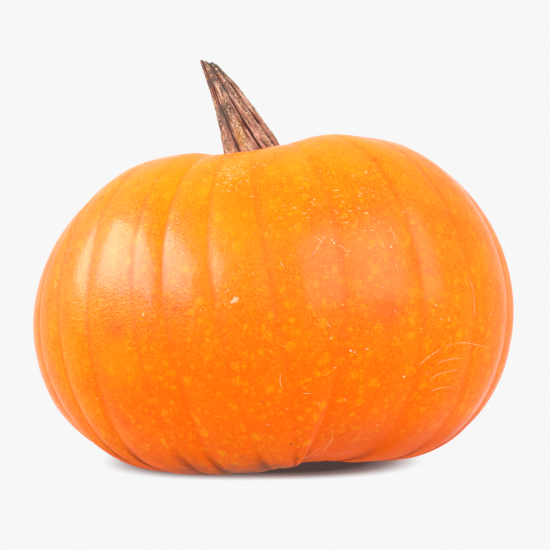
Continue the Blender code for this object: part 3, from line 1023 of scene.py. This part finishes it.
# %% Scratch lines
SCRATCHES = (
    ((56.1, 49.8), (59.7, 52.8), (65.3, 56.4)),
    ((67.3, 57.0), (71.1, 57.7), (74.1, 57.7), (79.8, 56.3), (86.2, 53.7)),
    ((63.4, 49.7), (65.8, 51.2), (67.4, 51.4), (70.4, 51.7), (73.4, 51.5)),
    ((60.7, 43.8), (63.1, 45.3), (65.9, 46.3), (69.2, 46.9), (72.2, 46.9)),
    ((59.0, 46.0), (60.6, 47.5)),
    ((60.5, 38.0), (62.5, 39.5), (64.9, 40.1), (67.8, 40.2), (70.4, 40.0)),
    ((14.3, 92.8), (16.3, 95.7), (18.2, 99.0), (19.8, 100.7), (21.3, 101.9)),
    ((14.8, 100.6), (16.7, 100.2), (18.2, 99.0)),
    ((24.4, 97.4), (26.3, 96.6), (28.2, 94.7)),
    ((44.4, 104.8), (45.5, 102.9), (46.7, 100.7), (47.0, 98.0)),
    ((46.8, 90.9), (47.4, 89.0), (48.0, 87.1)),
    ((40.8, 81.4), (42.6, 81.0)),
    ((2.5, 91.4), (3.3, 90.3), (4.4, 89.3)),
    ((2.9, 49.2), (2.5, 46.4), (3.1, 43.3)),
    ((10.5, 41.2), (12.8, 41.0), (15.1, 41.2)),
    ((-84.2, 92.3), (-81.9, 92.4), (-79.7, 94.3)),
    ((66.6, 111.0), (67.7, 109.1)),
    ((76.8, 84.2), (78.8, 77.8), (79.2, 70.0), (78.8, 64.1)),
    ((85.5, 68.0), (87.3, 67.1)),
    ((20.0, 68.7), (22.3, 66.3)),
    ((21.2, 61.8), (22.7, 63.2)),
    ((23.2, 22.4), (22.7, 19.9), (20.9, 16.6), (19.4, 14.1)),
    ((18.2, 16.6), (15.9, 14.1), (11.9, 10.8), (10.5, 9.1)),
)
SCRATCH_WIDTH = 0.00030
SCRATCH_STEP = 0.0005
SCRATCH_SINK = 0.00006
SCRATCH_WANDER = 0.0006
SCRATCH_COLOUR = (0.95, 0.34, 0.12, 1.0)
SCRATCH_PALE = (0.97, 0.52, 0.28, 1.0)
VIEW_PLANE = -0.2
print(len(SCRATCHES), "scratches")


# %% Draw the scratches onto the skin
def front_point(x, height):
    """A point in front of the fruit, from millimetres seen from the front."""
    return (0.001 * x, VIEW_PLANE, 0.001 * height)


def line_mesh(name, lines):
    """The lines as points and edges in front of the fruit."""
    points, edges = [], []
    for line in lines:
        start = len(points)
        points.extend(front_point(*place) for place in line)
        edges.extend((number, number + 1) for number in range(start, len(points) - 1))
    return point_mesh(name, points, edges)


class SkinTree(ScatterTree):
    """Steps that need to know where the skin is."""

    def drop(self, geometry):
        """Where each point meets the skin along +Y, and which way the skin faces there."""
        skin = self.add("GeometryNodeObjectInfo", {}, {"Object": self.given["Skin"]}, "Geometry")
        return self.add("GeometryNodeRaycast", {},
                        {"Target Geometry": skin, "Ray Direction": (0.0, 1.0, 0.0), "Ray Length": 1.0},
                        ("Hit Position", "Hit Normal"))


def scratch_tree(sizes):
    """Smooth each line, drop it onto the skin, and give it a tapered, uneven tube."""
    tree = SkinTree("healed_scratches", sizes)
    size = tree.given
    curve = tree.add("GeometryNodeMeshToCurve", {}, {"Mesh": size["Geometry"]})
    curve = tree.add("GeometryNodeCurveSplineType", {"spline_type": "CATMULL_ROM"}, {"Curve": curve})
    curve = tree.add("GeometryNodeResampleCurve", {"mode": "LENGTH"},
                     {"Curve": curve, "Length": size["Step"]})
    hit, facing = tree.drop(curve)
    wander = tree.noise(tree.position(), 500.0, 2.0) - 0.5
    aside = tree.vector(wander, 0.0, wander) * SCRATCH_WANDER
    curve = tree.set_position(curve, hit + facing * -SCRATCH_SINK + aside)
    along = tree.add("GeometryNodeSplineParameter", {}, {}, "Factor")
    taper = (along * (1.0 - along) * 4.0) ** 0.5
    uneven = tree.ramp(tree.noise(tree.position(), 900.0), 0.3, 0.7, 0.7, 1.3)
    girth = size["Width"] * 0.5 * (taper * 0.8 + 0.2) * uneven
    ring = tree.add("GeometryNodeCurvePrimitiveCircle", {}, {"Resolution": 8, "Radius": 1.0}, "Curve")
    tube = tree.add("GeometryNodeCurveToMesh", {},
                    {"Curve": curve, "Profile Curve": ring, "Scale": girth, "Fill Caps": True})
    tree.end(tube, size["Finish"])
    return tree


scratch_finish = plain_finish("healed_skin", SCRATCH_COLOUR, SCRATCH_PALE, scale=700.0, roughness=0.5)
scratch_sizes = {
    "Skin": fruit, "Width": SCRATCH_WIDTH, "Step": SCRATCH_STEP, "Finish": scratch_finish,
}
scratches = scratch_tree(scratch_sizes).make("skin_scratches", line_mesh("scratch_lines", SCRATCHES))

# %% [markdown]
# ## Corky specks
#
# Insects, grit and the vine's own leaves leave small round scars. The large ones are placed one by
# one where the photograph shows them, as points seen from the front with a width each, all in
# millimetres. A ray along the view finds the skin behind each point, and a bead is laid flat there.
# The same tree makes the few dark specks low down and the one healed patch, which is five flat
# beads that run into each other.

# %% Specks placed by hand
SPECKS = (
    (29.5, 57.4, 0.75), (31.0, 56.8, 0.70), (46.7, 72.2, 0.55), (45.4, 96.4, 0.75), (50.5, 46.1, 0.80),
    (63.1, 73.4, 0.65), (68.5, 67.2, 0.70), (65.2, 67.8, 0.50), (33.1, 111.1, 0.60),
    (36.2, 109.2, 0.60), (26.9, 113.4, 0.45), (18.0, 112.3, 0.45), (40.8, 105.7, 0.65),
    (42.2, 97.5, 0.45), (25.6, 102.9, 0.50), (25.9, 91.8, 0.45), (23.2, 98.2, 1.10), (22.4, 99.3, 0.70),
    (-84.8, 81.9, 0.55), (-50.1, 70.6, 0.60), (-17.3, 80.8, 0.50), (-37.2, 97.9, 0.35),
    (-54.2, 117.5, 0.50), (-7.8, 87.3, 0.35), (-10.8, 87.6, 0.30),
)
HEALED_PATCH = (
    (-15.7, 76.4, 1.2), (-15.0, 76.8, 1.6), (-14.3, 77.2, 1.7), (-14.6, 77.9, 1.1), (-13.8, 77.7, 1.0),
)
DARK_SPECKS = (
    (7.0, 19.5, 0.80), (9.6, 12.2, 0.80), (-20.9, 9.5, 0.70), (-42.2, 7.0, 0.70), (44.7, 8.5, 0.60),
    (-53.4, 27.2, 0.55), (31.4, 21.5, 0.45), (-4.0, 38.0, 0.40),
)
SPECK_STRETCH_SEED = 3
HALF_MM = 0.0005
print(len(SPECKS) + len(DARK_SPECKS), "specks and", len(HEALED_PATCH), "beads in the patch")


# %% Wrap a speck tree
def speck_mesh(specks):
    """The specks as points in front of the fruit, with their radius as an attribute."""
    mesh = point_mesh("specks", [front_point(x, height) for x, height, _ in specks])
    layer = mesh.attributes.new("radius_of", "FLOAT", "POINT")
    for point, (_, _, width) in zip(layer.data, specks):
        point.value = HALF_MM * width
    return mesh


def speck_tree(sizes):
    """Drop the points onto the skin and lay a round bead on each."""
    tree = SkinTree("corky_specks", sizes)
    size = tree.given
    points = tree.add("GeometryNodeMeshToPoints", {}, {"Mesh": size["Geometry"]})
    hit, facing = tree.drop(points)
    points = tree.store(points, "facing", facing, "FLOAT_VECTOR")
    points = tree.set_position(points, hit)
    turn = tree.add("FunctionNodeAlignRotationToVector", {"axis": "Z"},
                    {"Vector": tree.read("facing", "FLOAT_VECTOR")})
    stretch = tree.chance(SHORTEST, 1.3, SPECK_STRETCH_SEED)
    beads = tree.stand(points, turn, tree.read("radius_of"), stretch, size["Flatness"], roundness=2)
    tree.end(beads, size["Finish"])
    return tree


def make_specks(name, places, finish, flatness):
    """A piece with a bead at each place."""
    tree = speck_tree({"Skin": fruit, "Flatness": flatness, "Finish": finish})
    return tree.make(name, speck_mesh(places))


# %% Make the specks and the patch
SPECK_COLOUR = (0.96, 0.46, 0.22, 1.0)
SPECK_PALE = (0.97, 0.64, 0.42, 1.0)
PATCH_COLOUR = (0.93, 0.37, 0.18, 1.0)
PATCH_PALE = (0.95, 0.43, 0.24, 1.0)
DARK_COLOUR = (0.22, 0.050, 0.015, 1.0)
DARKEST = (0.10, 0.025, 0.010, 1.0)
speck_finish = plain_finish("corky_specks", SPECK_COLOUR, SPECK_PALE, scale=1100.0, roughness=0.55)
specks = make_specks("skin_specks", SPECKS, speck_finish, flatness=0.35)
patch_finish = plain_finish("healed_patch", PATCH_COLOUR, PATCH_PALE, scale=900.0, roughness=0.6)
healed_patch = make_specks("skin_patch", HEALED_PATCH, patch_finish, flatness=0.12)
dark_finish = plain_finish("dark_specks", DARK_COLOUR, DARKEST, scale=900.0, roughness=0.6)
dark_specks = make_specks("skin_dark_specks", DARK_SPECKS, dark_finish, flatness=0.25)

# %% [markdown]
# ## Pale flecks
#
# The many small flecks are scattered, not placed, because no two pumpkins share them and nobody
# counts them. What matters is where they are thick: under the stem and on the right of the crown.
# Two bell-shaped clusters raise the density there, noise breaks the clusters into patches, and a
# thin scatter covers the whole skin, so that the sides and the back carry flecks too.

# %% Pale flecks over the skin
FLECK_SIZES = {
    "Density": 5000.0, "Smallest": 0.00010, "Largest": 0.00028, "Seed": 23,
    "Crown density": 1600000.0, "Crown x": -0.0160, "Crown height": 0.1255, "Crown spread": 0.0060,
    "Shoulder density": 230000.0, "Shoulder x": 0.027, "Shoulder height": 0.1140,
    "Shoulder spread": 0.016,
}
FLECK_COLOUR = (0.97, 0.41, 0.10, 1.0)
FLECK_PALE = (0.98, 0.58, 0.26, 1.0)


def cluster(tree, name, x, height):
    """Density that a cluster on the front adds at a point."""
    size = tree.given
    spread = size[name + " spread"]
    near = tree.spot((x - size[name + " x"]) / spread, (height - size[name + " height"]) / spread)
    return size[name + " density"] * near


def fleck_tree(sizes):
    """Thin flecks all over, but for the foot of the stem and the ground, and thick ones in front."""
    tree = ScatterTree("small_flecks", sizes)
    size = tree.given
    x, y, height = tree.split(tree.position())
    front = tree.ease(y, 0.006, -0.004)
    patch = tree.ease(tree.noise(tree.position(), 190.0, 2.0), 0.40, 0.62)
    density = size["Density"] * tree.ease(tree.noise(tree.position(), 30.0), 0.40, 0.65)
    for name in ("Crown", "Shoulder"):
        density = density + cluster(tree, name, x, height) * front * patch
    clear = tree.ease(tree.read("polar"), 0.12, 0.25)
    density = density * clear * tree.ease(height, 0.002, 0.010)
    tree.end(tree.beads(density, flatness=0.3, longest=4.0), size["Finish"])
    return tree


fleck_finish = plain_finish("pale_flecks", FLECK_COLOUR, FLECK_PALE, scale=500.0, roughness=0.6)
flecks = fleck_tree({**FLECK_SIZES, "Finish": fleck_finish}).make("skin_flecks", fruit.data.copy())

# %% [markdown]
# ## The blossom scar
#
# Opposite the stem, under the fruit, the flower left a small round scar of cork. Nobody sees it
# while the pumpkin stands, but a part that can be picked up needs it. It is a squashed ball whose
# outline wanders and whose face has rings, set into the dish at the blossom end.

# %% Blossom scar
SCAR_RADIUS = 0.0062
SCAR_THICKNESS = 0.0009
SCAR_RING_HEIGHT = 0.00022
SCAR_RINGS = 3.5
SCAR_WAVES = ((0.07, 5.0, 0.6), (0.04, 11.0, 0.0))
SCAR_SEGMENTS, SCAR_ROWS = 96, 48
SCAR_COLOUR = (0.26, 0.150, 0.075, 1.0)
SCAR_PALE = (0.45, 0.270, 0.140, 1.0)


def keep_mesh(name, shape):
    """Turn what bmesh made into a mesh."""
    mesh = bpy.data.meshes.new(name)
    shape.to_mesh(mesh)
    shape.free()
    return mesh


def scar_mesh(middle, outward):
    """A squashed ball at a place on the skin, with a wavy outline and rings round its middle."""
    shape = bmesh.new()
    bmesh.ops.create_uvsphere(shape, u_segments=SCAR_SEGMENTS, v_segments=SCAR_ROWS, radius=1.0)
    turn = outward.to_track_quat("Z", "Y").to_matrix()
    for vertex in shape.verts:
        angle = math.atan2(vertex.co.y, vertex.co.x)
        reach = math.hypot(vertex.co.x, vertex.co.y)
        outline = 1.0
        for size, waves, phase in SCAR_WAVES:
            outline += size * math.sin(waves * angle + phase)
        height = SCAR_THICKNESS * vertex.co.z + SCAR_RING_HEIGHT * math.cos(math.tau * SCAR_RINGS * reach)
        spread = SCAR_RADIUS * outline
        local = Vector((vertex.co.x * spread, vertex.co.y * spread, height))
        vertex.co = middle + turn @ local
    mesh = keep_mesh("blossom_scar", shape)
    mesh.shade_smooth()
    return mesh


def add_mesh(name, mesh, material):
    """An object at the origin that shows a finished mesh."""
    mesh.materials.append(material)
    piece = bpy.data.objects.new(name, mesh)
    bpy.context.scene.collection.objects.link(piece)
    return piece


scar_finish = plain_finish("blossom_cork", SCAR_COLOUR, SCAR_PALE, scale=800.0, roughness=0.75)
blossom_end = find_pole(fruit, max)
scar = add_mesh("blossom_scar", scar_mesh(blossom_end.co, blossom_end.normal), scar_finish)
print("blossom scar at", in_mm(blossom_end.co), "mm")

# %% [markdown]
# ## Floor and light
#
# The photograph is a white one: a bright room of paper, and hardly any shadow but the dark line
# where the fruit stands on the floor. The world is the room. The floor glows as brightly as the
# room, so that it meets the background without a seam. A glowing floor shows no cast shadow, so
# the shade is part of its colour: a rounded oblong with soft, reddish edges.

# %% Floor
ROOM_LIGHT = 0.93
FLOOR_SIZE = 6.0
SHADE_X, SHADE_Y = -0.0045, 0.014
SHADE_WIDTH, SHADE_DEPTH = 0.060, 0.052
SHADE_TURN = -0.04
SHADE_POWER = 2.5
CORE_FADES = (0.70, 1.00)
EDGE_FADES = (0.88, 1.16)
SHADE_CORE = (0.075, 0.046, 0.043, 1.0)
SHADE_EDGE = (0.36, 0.24, 0.23, 1.0)
FLOOR_WHITE = (ROOM_LIGHT, ROOM_LIGHT, ROOM_LIGHT, 1.0)


def add_floor():
    """A pale sheet, as bright as the room behind it but for the shade where something stands on it."""
    paper = Finish("lit_paper", {
        "Roughness": 1.0, "Specular IOR Level": 0.0, "Base Color": (0.0, 0.0, 0.0, 1.0),
        "Emission Strength": 1.0,
    })
    x, y, _ = paper.split(paper.place)
    run = paper.maths("ABSOLUTE", (x - SHADE_X) / SHADE_WIDTH) ** SHADE_POWER
    rise = paper.maths("ABSOLUTE", (y - SHADE_Y + x * SHADE_TURN) / SHADE_DEPTH) ** SHADE_POWER
    reach = (run + rise) ** (1.0 / SHADE_POWER)
    colour = paper.mix(paper.ease(reach, *CORE_FADES), SHADE_CORE, SHADE_EDGE)
    colour = paper.mix(paper.ease(reach, *EDGE_FADES), colour, FLOOR_WHITE)
    paper.feed("Emission Color", colour)
    shape = bmesh.new()
    bmesh.ops.create_grid(shape, x_segments=2, y_segments=2, size=FLOOR_SIZE)
    return add_mesh("floor", keep_mesh("floor", shape), paper.material)


floor = add_floor()
world = bpy.data.worlds.new("bright_room")
bpy.context.scene.world = world
world.use_nodes = True
background = world.node_tree.nodes["Background"]
background.inputs["Color"].default_value = (1.0, 1.0, 1.0, 1.0)
background.inputs["Strength"].default_value = ROOM_LIGHT
print("floor and room are as bright as", ROOM_LIGHT)

# %% [markdown]
# ## Softboxes
#
# The highlights tell where the lights stood: a wide one far to the left and a weaker, squarer one
# to the right of the camera, both about thirty degrees up. Each softbox is a pair of lights in one
# place, one seen only by matt colour and one only by gloss, so that the two can be set apart.

# %% Softboxes
SoftBox = namedtuple("SoftBox", "name side height distance width tall soft gloss")
SOFTBOXES = (
    SoftBox("left_softbox", -72.0, 29.5, 0.90, 1.15, 0.47, 6.0, 130.0),
    SoftBox("right_softbox", 46.0, 31.0, 1.00, 0.98, 0.77, 6.0, 75.0),
)
LIGHT_AIM = Vector((0.0, 0.0, 0.07))


def add_light(box, kind, watts):
    """A rectangular light, turned side degrees to the right of the camera's side of the fruit."""
    data = bpy.data.lights.new(box.name + kind, "AREA")
    data.shape = "RECTANGLE"
    data.size, data.size_y = box.width, box.tall
    data.energy = watts
    light = bpy.data.objects.new(box.name + kind, data)
    side, height = math.radians(box.side), math.radians(box.height)
    level = math.cos(height)
    away = Vector((math.sin(side) * level, -math.cos(side) * level, math.sin(height)))
    light.location = LIGHT_AIM + away * box.distance
    light.rotation_euler = away.to_track_quat("Z", "Y").to_euler()
    light.visible_camera = False
    light.visible_glossy = kind == "_gloss"
    light.visible_diffuse = kind == "_soft"
    bpy.context.scene.collection.objects.link(light)
    return light


lights = [add_light(box, "_soft", box.soft) for box in SOFTBOXES]
lights += [add_light(box, "_gloss", box.gloss) for box in SOFTBOXES]
print(len(lights), "lights for", len(SOFTBOXES), "softboxes")

# %% [markdown]
# ## Attach the pieces
#
# Each piece rides on the fruit's one body, and the CAD fruit and stem are hidden. The floor is only
# a stage.

# %% Attach each piece to the body and hide the CAD parts
SKIN_PIECES = (fruit, scratches, specks, healed_patch, dark_specks, flecks, scar)
STEM_PIECES = (stem, prickles)
for piece in SKIN_PIECES + STEM_PIECES:
    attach(piece, "root")
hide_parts("fruit")
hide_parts("stem")
